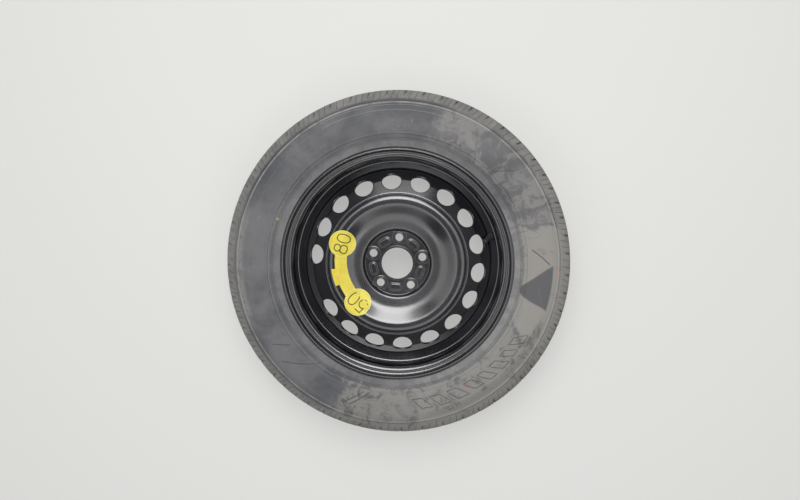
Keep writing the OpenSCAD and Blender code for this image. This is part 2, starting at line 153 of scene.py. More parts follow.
class Line:
    """A bent line that can be read at any length along it."""

    def __init__(self, corners, step=2.0, chord=1.0):
        self.p, self.n = bend_line(corners, step, chord)
        d = np.hypot(*np.diff(self.p, axis=0).T)
        self.s = np.concatenate([[0], np.cumsum(d)])
        self.length = self.s[-1]

    def at(self, s):
        p = np.stack([np.interp(s, self.s, self.p[:, i]) for i in (0, 1)], -1)
        n = np.stack([np.interp(s, self.s, self.n[:, i]) for i in (0, 1)], -1)
        return p, n / np.linalg.norm(n, axis=-1, keepdims=True)


def spin(rz, degrees):
    """Turns (radius, height) pairs about the wheel's axis; the degrees are the usual ones from +X."""
    rz = np.asarray(rz, float)
    a = np.radians(degrees)
    return np.stack([rz[..., 0] * np.cos(a), rz[..., 0] * np.sin(a), rz[..., 1] + 0 * a], -1)


# Meshes


class Net:
    """Vertices and faces gathered piece by piece, in millimetres."""

    def __init__(self):
        self.verts, self.faces, self.count = [], [], 0

    def add(self, points):
        points = np.asarray(points, float).reshape(-1, 3)
        self.verts.append(points)
        first = self.count
        self.count += len(points)
        return np.arange(first, self.count)

    def join(self, a, b, closed=True):
        """Quads between two rows of the same length; equal neighbours give triangles."""
        n = len(a)
        for i in range(n if closed else n - 1):
            j = (i + 1) % n
            q = [a[i], a[j], b[j], b[i]]
            f = [v for k, v in enumerate(q) if v != q[k - 1]]
            if len(set(f)) == len(f) and len(f) > 2:
                self.faces.append(f)

    def rows(self, rows, closed=True):
        for a, b in zip(rows, rows[1:]):
            self.join(a, b, closed)

    def mesh(self, name, material, body="wheel", merge=0.0, sharp=38):
        mesh = bpy.data.meshes.new(name)
        verts = np.concatenate(self.verts) * MM
        faces = [[int(v) for v in f] for f in self.faces]
        mesh.from_pydata(verts.tolist(), [], faces)
        bm = bmesh.new()
        bm.from_mesh(mesh)
        if merge:
            bmesh.ops.remove_doubles(bm, verts=bm.verts, dist=merge * MM)
        bmesh.ops.recalc_face_normals(bm, faces=bm.faces)
        bm.to_mesh(mesh)
        bm.free()
        mesh.validate()
        mesh.shade_smooth()
        mesh.set_sharp_from_angle(angle=math.radians(sharp))
        obj = bpy.data.objects.new(name, mesh)
        bpy.context.scene.collection.objects.link(obj)
        mesh.materials.append(material)
        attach(obj, body)
        return obj


# Materials


class Paint:
    """A principled material whose nodes are made by short calls."""

    def __init__(self, name, **sockets):
        self.mat = bpy.data.materials.new(name)
        self.mat.use_nodes = True
        self.tree = self.mat.node_tree
        self.tree.nodes.clear()
        out = self.tree.nodes.new("ShaderNodeOutputMaterial")
        self.bsdf = self.tree.nodes.new("ShaderNodeBsdfPrincipled")
        self.tree.links.new(self.bsdf.outputs[0], out.inputs["Surface"])
        for key, value in sockets.items():
            self.bsdf.inputs[key.replace("_", " ")].default_value = value
        self.xyz = self.tree.nodes.new("ShaderNodeTexCoord").outputs["Object"]
        parts = self.tree.nodes.new("ShaderNodeSeparateXYZ")
        self.tree.links.new(self.xyz, parts.inputs[0])
        self.x, self.y, self.z = parts.outputs
        self.r = self.math("SQRT", self.add(self.mul(self.x, self.x), self.mul(self.y, self.y)))
        self.cos = self.math("DIVIDE", self.x, self.r)
        self.sin = self.math("DIVIDE", self.y, self.r)
        self.turn = self.math("ARCTAN2", self.x, self.y)

    def put(self, socket, value):
        if isinstance(value, bpy.types.NodeSocket):
            self.tree.links.new(value, socket)
        elif isinstance(value, (tuple, list)) and socket.type == "RGBA":
            socket.default_value = (*value[:3], 1)
        else:
            socket.default_value = value

    def math(self, op, a, b=0.0, c=None, clamp=False):
        node = self.tree.nodes.new("ShaderNodeMath")
        node.operation = op
        node.use_clamp = clamp
        self.put(node.inputs[0], a)
        self.put(node.inputs[1], b)
        if c is not None:
            self.put(node.inputs[2], c)
        return node.outputs[0]

    def add(self, a, b):
        return self.math("ADD", a, b)

    def mul(self, a, b):
        return self.math("MULTIPLY", a, b)

    def top(self, a, b):
        return self.math("MAXIMUM", a, b)

    def ramp(self, value, lo, hi, a=0.0, b=1.0):
        """Smooth step of a value from lo to hi; hi may be below lo."""
        node = self.tree.nodes.new("ShaderNodeMapRange")
        node.interpolation_type = "SMOOTHSTEP"
        if lo > hi:
            lo, hi, a, b = hi, lo, b, a
        for key, v in zip(("Value", "From Min", "From Max", "To Min", "To Max"), (value, lo, hi, a, b)):
            self.put(node.inputs[key], v)
        return node.outputs["Result"]

    def band(self, value, lo, hi, soft):
        return self.mul(self.ramp(value, lo - soft, lo + soft), self.ramp(value, hi + soft, hi - soft))

    def ring(self, lo, hi, soft=1.0):
        """Mask of a ring between two radii, in millimetres."""
        return self.band(self.r, lo * MM, hi * MM, soft * MM)

    def sector(self, turn, half, soft=4.0):
        """Mask of a sector round a clockwise angle from the top."""
        a = math.radians(turn)
        dot = self.add(self.mul(self.cos, math.sin(a)), self.mul(self.sin, math.cos(a)))
        inner = math.cos(math.radians(max(half - soft, 0)))
        outer = math.cos(math.radians(half + soft))
        return self.ramp(dot, outer, inner)

    def wedge(self, low, high, soft=4.0):
        """Mask between two clockwise angles within the right half of the wheel."""
        return self.band(self.turn, math.radians(low), math.radians(high), math.radians(soft))

    def slash(self, turn0, radius0, turn1, radius1, width):
        """Mask of a slanted stroke from one place on the sidewall to another."""
        k = math.radians(turn1 - turn0) / ((radius1 - radius0) * MM)
        place = self.math("WRAP", self.turn, 0.0, 2 * math.pi)
        line = self.add(self.mul(self.r, k), math.radians(turn0) - k * radius0 * MM)
        off = self.math("SUBTRACT", place, line)
        half = width / 2 / (radius0 + radius1) * 2
        return self.mul(self.band(off, -half, half, half * 0.5), self.ring(radius0, radius1, 3))

    def polar(self, around=1.0, out=1.0, skew=0.0):
        """Vector for noise that is stretched round the wheel or along its radius."""
        node = self.tree.nodes.new("ShaderNodeCombineXYZ")
        c, s = self.cos, self.sin
        if skew:
            turn = self.mul(self.r, skew)
            ct, st = self.math("COSINE", turn), self.math("SINE", turn)
            c, s = (
                self.math("SUBTRACT", self.mul(c, ct), self.mul(s, st)),
                self.add(self.mul(s, ct), self.mul(c, st)),
            )
        self.put(node.inputs[0], self.mul(c, around))
        self.put(node.inputs[1], self.mul(s, around))
        self.put(node.inputs[2], self.mul(self.r, out))
        return node.outputs[0]

    def noise(self, vector, scale, detail=3.0, rough=0.55, warp=0.0):
        node = self.tree.nodes.new("ShaderNodeTexNoise")
        values = {"Vector": vector, "Scale": scale, "Detail": detail, "Roughness": rough, "Distortion": warp}
        for key, value in values.items():
            self.put(node.inputs[key], value)
        return node.outputs["Fac"]

    def mix(self, fac, a, b):
        node = self.tree.nodes.new("ShaderNodeMix")
        node.data_type = "RGBA"
        self.put(node.inputs[0], fac)
        self.put(node.inputs[6], a)
        self.put(node.inputs[7], b)
        return node.outputs[2]

    def finish(self, colour, rough, height, strength, distance):
        """Gives the shader its colour, roughness and bump, whose depth is in metres."""
        self.put(self.bsdf.inputs["Base Color"], colour)
        self.put(self.bsdf.inputs["Roughness"], rough)
        bump = self.tree.nodes.new("ShaderNodeBump")
        bump.inputs["Strength"].default_value = strength
        bump.inputs["Distance"].default_value = distance
        self.put(bump.inputs["Height"], height)
        self.put(self.bsdf.inputs["Normal"], bump.outputs[0])
        return self.mat


def enamel(name):
    """Black stove enamel with a thin film of dust."""
    p = Paint(name, Specular_IOR_Level=1.0, IOR=1.65)
    cloud = p.noise(p.xyz, 9, 4, 0.6)
    specks = p.ramp(p.noise(p.xyz, 420, 2, 0.5), 0.7, 0.78)
    drawn = p.noise(p.polar(5, 60), 3, 4, 0.6)
    haze = p.mul(p.ramp(cloud, 0.3, 0.75), p.ramp(drawn, 0.25, 0.8, 0.4, 1.0))
    colour = p.mix(p.mul(haze, 0.6), (0.006, 0.0065, 0.009), (0.027, 0.028, 0.034))
    colour = p.mix(p.mul(specks, 0.12), colour, (0.15, 0.145, 0.135))
    rough = p.add(p.ramp(cloud, 0.2, 0.8, 0.17, 0.24), p.mul(specks, 0.1))
    return p.finish(colour, rough, p.noise(p.xyz, 900, 2, 0.5), 0.02, 0.0001)


def rubber(name):
    """Tyre rubber: dark, with dust in irregular patches on one half, scuffs and the marks of the mould; the
    cuts and groove rings are darkened with painted shade, and one rib is lightened partly as dust, partly as a
    painted highlight.
    """
    p = Paint(name, Specular_IOR_Level=0.4)
    cloud = p.noise(p.xyz, 7, 5, 0.62, 0.4)
    patch = p.noise(p.polar(7, 22), 1.4, 6, 0.66, 0.9)
    scuff = p.noise(p.polar(24, 70, 4.0), 1, 5, 0.62, 1.4)
    ringed = p.noise(p.polar(4, 420), 1, 3, 0.6)
    grain = p.noise(p.xyz, 1400, 2, 0.6)
    pale, brown = (0.34, 0.335, 0.325), (0.3, 0.288, 0.268)
    colour = p.mix(p.ramp(cloud, 0.34, 0.66), (0.08, 0.082, 0.091), (0.165, 0.165, 0.171))
    colour = p.mix(p.mul(p.ramp(ringed, 0.5, 0.75), 0.3), colour, (0.19, 0.19, 0.19))

    # dust: how much lies at each angle, then its patches
    straight = p.turn
    p.turn = p.add(straight, p.math("MULTIPLY_ADD", cloud, 0.8, -0.4))
    amount = p.mul(p.wedge(14, 178, 10), 0.45)
    amount = p.top(amount, p.mul(p.sector(188, 16, 6), 0.7))
    for low, high, level in ((20, 40, 0.55), (58, 78, 0.6), (78, 122, 1.0), (122, 176, 0.8)):
        amount = p.top(amount, p.mul(p.wedge(low, high, 3), level))
    p.turn = straight
    amount = p.mul(amount, p.ring(253, 345, 8))
    shown = p.add(patch, p.mul(p.math("SUBTRACT", amount, 0.7), 0.3))
    dust = p.mul(amount, p.ramp(shown, 0.38, 0.52, 0.15, 1.0))
    colour = p.mix(dust, colour, brown)
    edge = p.mul(p.mul(p.sector(268, 19, 6), p.ring(314, 330, 5)), p.ramp(scuff, 0.35, 0.55, 0.3, 1.0))
    colour = p.mix(p.mul(edge, 0.65), colour, brown)

    # smears and the plain shield: half its width in degrees, and the place off its middle line
    smear = p.mul(p.mul(p.wedge(112, 168, 6), p.ring(307, 320, 3)), p.ramp(patch, 0.4, 0.5, 1.0, 0.4))
    colour = p.mix(p.mul(smear, 0.75), colour, (0.115, 0.112, 0.112))
    outward = p.math("MULTIPLY_ADD", p.r, 1 / 0.062, -0.252 / 0.062, clamp=True)
    reach = p.mul(p.math("POWER", outward, 0.6), 8.4)
    middle = p.ramp(p.r, 0.250, 0.316, 101.0, 98.5)
    aside = p.math("ABSOLUTE", p.math("SUBTRACT", p.mul(p.turn, 180 / math.pi), middle))
    shield = p.mul(p.ramp(p.math("SUBTRACT", aside, reach), 0.5, -0.5), p.ring(254, 314, 2))
    colour = p.mix(p.mul(shield, 0.92), colour, (0.1, 0.1, 0.108))
    # darker strokes along the slanted cuts: painted shade in them
    for *place, width in (
        (83.4, 274, 89.6, 307, 2.4), (192, 269, 199, 304, 3.4), (218, 258, 230, 308, 1.6),
        (233, 273, 237.6, 303, 1.6), (45, 262, 51, 300, 1.4),
    ):
        colour = p.mix(p.mul(p.slash(*place, width), 0.6), colour, (0.07, 0.07, 0.073))

    # scuffs and scratches
    bright = p.mul(p.ramp(scuff, 0.62, 0.7), p.ramp(patch, 0.45, 0.6))
    colour = p.mix(p.mul(bright, 0.4), colour, pale)
    swirl = p.noise(p.polar(14, 30, 6.0), 1, 2, 0.4, 2.0)
    hair = p.ramp(p.math("ABSOLUTE", p.math("SUBTRACT", swirl, 0.5)), 0.006, 0.0015)
    colour = p.mix(p.mul(p.mul(hair, p.ramp(cloud, 0.45, 0.6)), 0.35), colour, pale)

    # rings, bead band and shoulder
    bead = p.mul(p.ring(240, 250.5, 1.0), p.top(p.wedge(60, 176, 12), 0.4))
    colour = p.mix(p.mul(p.mul(bead, p.ramp(patch, 0.35, 0.6, 0.35, 1.0)), 0.6), colour, pale)
    # the raised rib is paler: partly dust, partly a painted highlight
    rib = p.mul(p.ring(324.4, 327.6, 0.6), p.ramp(patch, 0.35, 0.6, 0.25, 0.8))
    colour = p.mix(rib, colour, pale)
    # dark rings in the grooves at 329 and 256 mm: painted shade
    colour = p.mix(p.mul(p.ring(328.7, 329.7, 0.3), 0.7), colour, (0.05, 0.05, 0.052))
    crease_shade = p.mul(p.ring(255.7, 256.8, 0.4), p.ramp(patch, 0.42, 0.55, 0.1, 0.6))
    colour = p.mix(crease_shade, colour, (0.06, 0.06, 0.062))
    shoulder = p.mul(p.ramp(p.r, 0.331, 0.336), p.ramp(patch, 0.4, 0.6, 0.45, 0.8))
    colour = p.mix(shoulder, colour, (0.27, 0.262, 0.245))

    # coloured spots, then gloss and relief
    red = p.mul(p.sector(150, 0.5, 0.5), p.ring(280, 286, 2))
    pink = p.mul(p.sector(92.5, 1.4, 1.2), p.ring(323, 328, 2))
    dot = p.mul(p.sector(291.5, 0.45, 0.2), p.ring(255.8, 260.4, 0.8))
    colour = p.mix(p.mul(red, 0.5), colour, (0.42, 0.1, 0.08))
    colour = p.mix(p.mul(pink, 0.5), colour, (0.5, 0.26, 0.18))
    colour = p.mix(p.mul(dot, 0.75), colour, (0.42, 0.44, 0.06))
    hatch = p.mul(p.math("SINE", p.mul(p.turn, 540)), p.mul(bead, 0.5))
    rough = p.add(p.ramp(cloud, 0.25, 0.75, 0.52, 0.7), p.mul(grain, 0.08))
    height = p.add(p.add(grain, p.mul(p.noise(p.xyz, 260, 2, 0.5), 0.8)), hatch)
    return p.finish(colour, rough, height, 0.22, 0.0003)


def plain(name, dark, light, rough, metal=0.0, scale=60.0, grain=900.0, bump=0.1, **sockets):
    """Simple surface whose tone and gloss vary a little."""
    p = Paint(name, Metallic=metal, **sockets)
    cloud = p.noise(p.xyz, scale, 4, 0.6)
    fine = p.noise(p.xyz, grain, 2, 0.6)
    colour = p.mix(p.ramp(p.add(p.mul(cloud, 0.7), p.mul(fine, 0.3)), 0.3, 0.7), dark, light)
    return p.finish(colour, p.ramp(cloud, 0.2, 0.8, rough - 0.06, rough + 0.08), fine, bump, 0.0002)


def film(name):
    """Yellow vinyl with its printed rings."""
    p = Paint(name, Specular_IOR_Level=0.5, Coat_Weight=0.15)
    cloud = p.noise(p.xyz, 30, 4, 0.6)
    fine = p.noise(p.xyz, 500, 3, 0.6)
    faded = p.ramp(p.add(p.mul(cloud, 0.6), p.mul(fine, 0.4)), 0.35, 0.65)
    colour = p.mix(faded, (0.76, 0.62, 0.05), (0.87, 0.76, 0.1))
    for turn in ROUND_ENDS:
        a = math.radians(turn)
        dx = p.math("SUBTRACT", p.x, (STICKER_X + STICKER_R * math.cos(a)) * MM)
        dy = p.math("SUBTRACT", p.y, (STICKER_Y + STICKER_R * math.sin(a)) * MM)
        d = p.math("SQRT", p.add(p.mul(dx, dx), p.mul(dy, dy)))
        edge = p.ramp(d, 0.0250, 0.0262)
        line = p.band(d, 0.0240, 0.0247, 0.0003)
        inside = p.ramp(d, 0.0285, 0.0280)
        colour = p.mix(p.mul(p.mul(edge, inside), 0.35), colour, (0.9, 0.86, 0.35))
        colour = p.mix(p.mul(line, 0.45), colour, (0.42, 0.34, 0.03))
    smudge = p.mul(p.sector(255.5, 2.2, 3), p.ring(122, 129, 3))
    colour = p.mix(p.mul(smudge, 0.55), colour, (0.85, 0.42, 0.06))
    return p.finish(colour, p.ramp(cloud, 0.3, 0.7, 0.3, 0.42), fine, 0.05, 0.0002)


RUBBER = rubber("tyre_rubber")
# the raised lines' lighter rubber is a painted highlight, and the grooves' darker rubber is painted shade
RIDGE_HIGHLIGHT = plain("ridge_highlight_rubber", (0.2, 0.197, 0.19), (0.33, 0.325, 0.31), 0.62, scale=110)
SHADED = plain("shaded_rubber", (0.05, 0.05, 0.052), (0.1, 0.098, 0.096), 0.62, scale=110)
ENAMEL = enamel("black_enamel")
FILM = film("yellow_vinyl")
INK = plain("printed_numbers", (0.06, 0.045, 0.008), (0.11, 0.085, 0.015), 0.45)
SEAM = plain("weld_enamel", (0.015, 0.015, 0.016), (0.05, 0.048, 0.045), 0.42, scale=200, bump=0.4)
VALVE = plain("valve_rubber", (0.018, 0.018, 0.018), (0.05, 0.05, 0.048), 0.55, scale=120)
CAP = plain("cap_plastic", (0.02, 0.02, 0.021), (0.045, 0.045, 0.045), 0.42, scale=150)
BRASS = plain("brass", (0.55, 0.4, 0.16), (0.72, 0.56, 0.26), 0.3, metal=1.0, scale=200)
STEEL = plain("spring_steel", (0.45, 0.45, 0.45), (0.62, 0.62, 0.62), 0.3, metal=1.0, scale=300)
RED = plain("gasket_red", (0.32, 0.04, 0.03), (0.45, 0.07, 0.05), 0.55, scale=300)

for node, material in {
    "rim": ENAMEL, "disc_welds": SEAM, "valve_body": VALVE, "valve_stem": BRASS, "core_barrel": BRASS,
    "core_gasket": RED, "core_pin": BRASS, "core_cup": VALVE, "core_spring": STEEL, "valve_cap": CAP,
    "cap_seal": VALVE, "tyre": RUBBER, "wheel_disc": ENAMEL, "speed_sticker": FILM,
}.items():
    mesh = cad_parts[node].data
    mesh.materials.clear()
    mesh.materials.append(material)


# The disc

DISC = Line(DISC_PATH)

# outlines of a bolt boss and of a lobe: radius or growth, and height over the pad's face
BOSS_FRONT = [
    (15.2, 0.0), (14.3, 0.1), (13.5, 0.45), (12.8, 1.15), (12.2, 1.9), (11.7, 2.28), (11.2, 2.4),
    (10.3, 2.4), (10.0, 2.33), (9.8, 2.1), (8.35, -0.5), (8.15, -0.8),
]
BOSS_BACK = [(8.15, 1.5), (8.35, 1.22), (11.2, 1.2), (11.45, 1.1), (11.5, 0.3), (11.75, 0.02), (12.2, 0.0)]
LOBE_LONG, LOBE_WIDE = 24.5, 13.0
LOBE_FRONT = [
    (4.4, 0.0), (2.8, 0.12), (1.4, 0.45), (0.0, 1.0), (-1.4, 1.5), (-2.8, 1.74), (-4.4, 1.8), (-6.5, 1.8),
]
LOBE_BACK = [(-3.4, 0.0), (-3.8, 0.15), (-4.2, 1.6), (-4.8, 1.8), (-7.0, 1.8)]


def s_at_radius(line, radius, lo=0.0, hi=None):
    """Length along a line where it first reaches a radius, between two lengths."""
    keep = (line.s >= lo) & (line.s <= (line.length if hi is None else hi))
    return float(np.interp(radius, line.p[keep, 0], line.s[keep]))


def slot_reach(d, length, width):
    """How far a slot's outline is from its middle in each direction d; it lies along the first axis."""
    a, r = (length - width) / 2, width / 2
    flat = r / np.maximum(np.abs(d[:, 1]), 1e-9)
    end = a * np.abs(d[:, 0]) + np.sqrt(np.maximum((a * d[:, 0]) ** 2 - a * a + r * r, 0))
    return np.where(np.abs(d[:, 0]) * flat <= a, flat, end)


def frame_points(n_in, sides):
    """Fractions (round, out) along the border of a patch, once round from its first inner corner."""
    up = [(i / n_in, 0.0) for i in range(n_in)] + [(1.0, v) for v in sides[:-1]]
    return np.array(up + [(1 - i / n_in, 1.0) for i in range(n_in)] + [(0.0, v) for v in sides[:0:-1]])


def build_disc():
    """The pressed disc: round strips where it is plain, and patches round each boss, lobe and vent."""
    net = Net()
    pad_in, pad_out = 37.2, 66.3
    boss_mid, lobe_mid = 54.0, 50.5
    s_pad_in = s_at_radius(DISC, pad_in, 2)
    s_pad_out = s_at_radius(DISC, pad_out, 2)
    slope_start = s_at_radius(DISC, STEP_END[0], 100)
    s_vent_in, s_vent_out = slope_start + 2.2, slope_start + 56.0
    s_brow = s_at_radius(DISC, BROW[0] - 0.3, 100)
    bolt_phase, vent_phase = 90 - 4.7 - 18, 90 - 16.5 - 10

    def surface(s, offset, degrees):
        p, n = DISC.at(s)
        return spin(p + n * np.asarray(offset, float)[..., None], degrees)

    def circle(s, offset, phase):
        """A ring of 360 points at one length and offset."""
        return net.add(surface(np.full(360, s), np.full(360, offset), np.arange(360.0) + phase))

    def strip(stations, phase0, phase1, front, back):
        """Rows on both faces along the stations, whose angles turn from one phase to the other."""
        rows = {1: [], -1: []}
        for side in (front, back):
            for s in stations:
                t = (s - stations[0]) / (stations[-1] - stations[0])
                phase = phase0 * (1 - t) + phase1 * t
                rows[side].append(circle(s, side * HALF_T, phase))
            net.rows(rows[side])
        return rows

    def stations(a, b, chord):
        pts, _ = bend_line(DISC_PATH, 7.0, chord)
        d = np.concatenate([[0], np.cumsum(np.hypot(*np.diff(pts, axis=0).T))])
        d *= DISC.length / d[-1]
        inner = [x for x in d if a + 0.6 < x < b - 0.6]
        return [a] + inner + [b]

    # collar, with its rounded end
    collar = strip([0.5, 2.5, 4.2] + stations(4.6, s_pad_in, 2.0), bolt_phase, bolt_phase, 1, -1)
    bends = (0.4, 0.8, 1.2, math.pi / 2)
    end = []
    for side, angles in ((1, bends), (-1, bends[::-1])):
        for a in angles:
            offset = side * (HALF_T - 0.5 + 0.5 * math.cos(a))
            end.append(circle(0.5 - 0.5 * math.sin(a), offset, bolt_phase))
    net.rows([collar[1][0]] + end + [collar[-1][0]])

    # ring, dish and crest
    strip(stations(s_pad_out, s_vent_in, 4.0), bolt_phase, vent_phase - 1, 1, -1)

    # skirt, with its square end
    skirt = strip(stations(s_vent_out, DISC.length - 0.4, 5.0), vent_phase - 1, vent_phase - 1, 1, -1)
    tail = [circle(DISC.length, offset, vent_phase - 1) for offset in (HALF_T - 0.4, 0.4 - HALF_T)]
    net.rows([skirt[1][-1]] + tail + [skirt[-1][-1]])

    # pad: ten patches, bolt bosses and lobes in turn
    def blend(ring, border, steps):
        return [ring * (1 - t) + border * t for t in steps]

    fr = frame_points(36, np.linspace(0, 1, 13))
    for k in range(10):
        centre = bolt_phase + 18 + 36 * k
        deg = centre - 18 + 36 * fr[:, 0]
        rad = pad_in + (pad_out - pad_in) * fr[:, 1]
        mid = lobe_mid if k % 2 else boss_mid
        a = np.radians(deg - centre)
        border = np.stack([rad * np.sin(a), rad * np.cos(a) - mid], -1)
        ray = border / np.linalg.norm(border, axis=1, keepdims=True)

        def lift(flat, height):
            flat = np.array(flat)
            x, y = flat[:, 0], flat[:, 1] + mid
            r = np.hypot(x, y)
            over = np.maximum(r / (pad_out - 0.02), 1.0)
            x, y = x / over, y / over
            rz = np.stack([np.hypot(x, y), np.full(len(x), height)], -1)
            return spin(rz, centre + np.degrees(np.arctan2(x, y)))

        if k % 2 == 0:
            rows = [lift(b, PAD_TOP) for b in blend(ray * BOSS_FRONT[0][0], border, (1.0, 0.66, 0.33))]
            rows += [lift(ray * r, PAD_TOP + h) for r, h in BOSS_FRONT]
            rows += [lift(ray * r, MOUNT_Z + h) for r, h in BOSS_BACK]
            rows += [lift(b, MOUNT_Z) for b in blend(ray * BOSS_BACK[-1][0], border, (0.5, 1.0))]
            net.rows([net.add(r) for r in rows])
        else:
            for shapes, base in ((LOBE_FRONT, PAD_TOP), (LOBE_BACK, MOUNT_Z)):
                rings = [ray * slot_reach(ray, LOBE_LONG + e, LOBE_WIDE + e)[:, None] for e, _ in shapes]
                rows = [lift(b, base) for b in blend(rings[0], border, (1.0, 0.6, 0.25))]
                rows += [lift(r, base + h) for r, (_, h) in zip(rings, shapes)]
                crest = base + shapes[-1][1]
                rows += [lift(rings[-1] * 0.45, crest)]
                ids = [net.add(r) for r in rows]
                tip = net.add(lift(np.zeros((1, 2)), crest))
                ids.append(np.full(len(ids[0]), tip[0]))
                net.rows(ids)

    # slope: eighteen patches, seventeen of them with a vent; the stations crowd round the brow
    crowd = np.sinh(np.linspace(-2.2, 2.2, 29)) / math.sinh(2.2)
    slope_s = s_brow + crowd * np.where(crowd < 0, s_brow - s_vent_in, s_vent_out - s_brow)
    fr = frame_points(20, (slope_s - s_vent_in) / (s_vent_out - s_vent_in))
    cos_tilt, sin_tilt = math.cos(VENT_TILT), math.sin(VENT_TILT)

    def along(s, a):
        """Second coordinate in the punch's plane of the disc's point at a length and an angle."""
        r = DISC.at(s)[0]
        return (r[:, 0] * np.cos(a) - VENT_R) * cos_tilt + (VENT_Z - r[:, 1]) * sin_tilt

    def to_plane(ds):
        a = np.radians(ds[:, 0])
        return np.stack([DISC.at(ds[:, 1])[0][:, 0] * np.sin(a), along(ds[:, 1], a)], -1)

    def from_plane(uv):
        low, high = np.full(len(uv), s_vent_in), np.full(len(uv), s_vent_out)
        for _ in range(30):
            s = (low + high) / 2
            a = np.arcsin(uv[:, 0] / DISC.at(s)[0][:, 0])
            short = along(s, a) < uv[:, 1]
            low, high = np.where(short, s, low), np.where(short, high, s)
        return np.stack([np.degrees(a), s], -1)

    for k in range(18):
        centre = 90 - 16.5 - 20 * k
        border = np.stack([20 * fr[:, 0] - 10, s_vent_in + (s_vent_out - s_vent_in) * fr[:, 1]], -1)

        def lay(ds, offset):
            return surface(ds[:, 1], np.full(len(ds), offset), centre + ds[:, 0])

        if k == BLIND_PLACE:
            across = np.arange(-10.0, 11.0)
            for side in (1, -1):
                grid = [lay(np.stack([across, np.full(21, s)], -1), side * HALF_T) for s in slope_s]
                net.rows([net.add(g) for g in grid], False)
            continue

        plane = to_plane(border)
        ray = plane / np.linalg.norm(plane, axis=1, keepdims=True)

        def hole(grow):
            return from_plane(ray * (VENT_RADIUS + grow))

        rows = [lay(b, HALF_T) for b in blend(hole(1.6), border, (1.0, 0.8, 0.6, 0.4, 0.2, 0.06))]
        for grow, depth in ((1.1, 0.0), (0.68, 0.08), (0.32, 0.32), (0.08, 0.68), (0.0, 1.1)):
            rows.append(lay(hole(grow), HALF_T - depth))
        for grow, depth in ((0.0, 0.5), (0.15, 0.15), (0.5, 0.0)):
            rows.append(lay(hole(grow), depth - HALF_T))
        rows += [lay(b, -HALF_T) for b in blend(hole(1.0), border, (0.0, 0.3, 0.65, 1.0))]
        net.rows([net.add(r) for r in rows])

    disc = net.mesh("pressed_disc", ENAMEL, merge=0.004, sharp=42)
    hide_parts("wheel_disc")


build_disc()


# The tyre

INNER = [
    (TYRE_R - 10, 0, 0),
    (EDGE_R - 9, EDGE_Z - 14, 0.35 * WALL),
    (EDGE_R - 0.13 * WALL, HALF_W - 14, 0.156 * WALL),
    (LIP_R + 0.693 * WALL, HALF_W - 5, 0.36 * WALL),
    (LIP_R + 0.33 * WALL, HALF_W - 5, 0.36 * WALL),
    (LIP_R + 0.06 * WALL, HALF_W - 19, 0.139 * WALL),
    (SEAT_R + 11, RIM_HALF - 12, 8),
    (SEAT_R - 1.1, RIM_HALF - 15.4, 1),
    (SEAT_R + 0.25, RIM_HALF - 0.25, 6.25),
    (LIP_R, RIM_HALF - 0.25, 9.75),
    (LIP_R, LIP_Z + 1, 0),
]
GAP_FLOOR = LIP_Z + 1 - 6.8
GAP_R = LIP_R + 2.6
OUTER = [
    (GAP_R, GAP_FLOOR + 1, 0),
    (GAP_R, LIP_Z + 1.715, 0.7),
    (LIP_R + 8, LIP_Z + 3.2, 6),
    (LIP_R + 0.33 * WALL, HALF_W, 0.36 * WALL),
    (LIP_R + 0.693 * WALL, HALF_W, 0.36 * WALL),
    (LIP_R + 0.8144 * WALL, HALF_W - 6.2, 0.17 * WALL),
    (EDGE_R - 2, EDGE_Z + 2.6, 3),
    (EDGE_R, EDGE_Z, 2),
    (TYRE_R - (EDGE_Z - 7) ** 2 / CROWN, EDGE_Z - 7, 0),
]
SIDE = Line(OUTER, 1.5, 0.5)


def side_at(radius, lift=0.0):
    """(r, z) on the outer sidewall at a radius, lifted along its normal, and the normal."""
    radius = np.asarray(radius, float)
    keep = (SIDE.p[:, 0] > GAP_R + 0.6) & (SIDE.p[:, 1] > EDGE_Z + 1)
    s = np.interp(radius, SIDE.p[keep, 0], SIDE.s[keep])
    p, n = SIDE.at(s)
    n = -n if n.reshape(-1, 2)[0, 1] < 0 else n
    return p + n * np.asarray(lift, float)[..., None], n


PITCHES = "MMSSMMLLMSSSMMLMMSSMSSMMMMLLLLLLMMSSSMMLMSSMLLLMMMSSSMMLMMM"
PITCH_LENGTH = {"S": 0.84, "M": 1.0, "L": 1.19}
NOTCH_END = 53.5


def block_columns():
    """Clockwise angles of sixteen columns to each shoulder block, and each column's place in its block."""
    lengths = np.array([PITCH_LENGTH[c] for c in PITCHES])
    starts = np.concatenate([[0], np.cumsum(lengths)])
    starts = 3.9 + 360 * starts / starts[-1]
    turns = []
    for a, b in zip(starts, starts[1:]):
        w = b - a
        third = w / 3
        turns += [a - 0.36, a - 0.27, a + 0.27, a + 0.36, a + third / 2]
        for m in (a + third, a + 2 * third):
            turns += [m - 0.1, m - 0.055, m + 0.055, m + 0.1]
            turns += [m + third / 2] if m < a + 1.5 * third else [m + third * 0.35, m + third * 0.7]
    return np.array(turns), np.tile(np.arange(16), len(PITCHES))


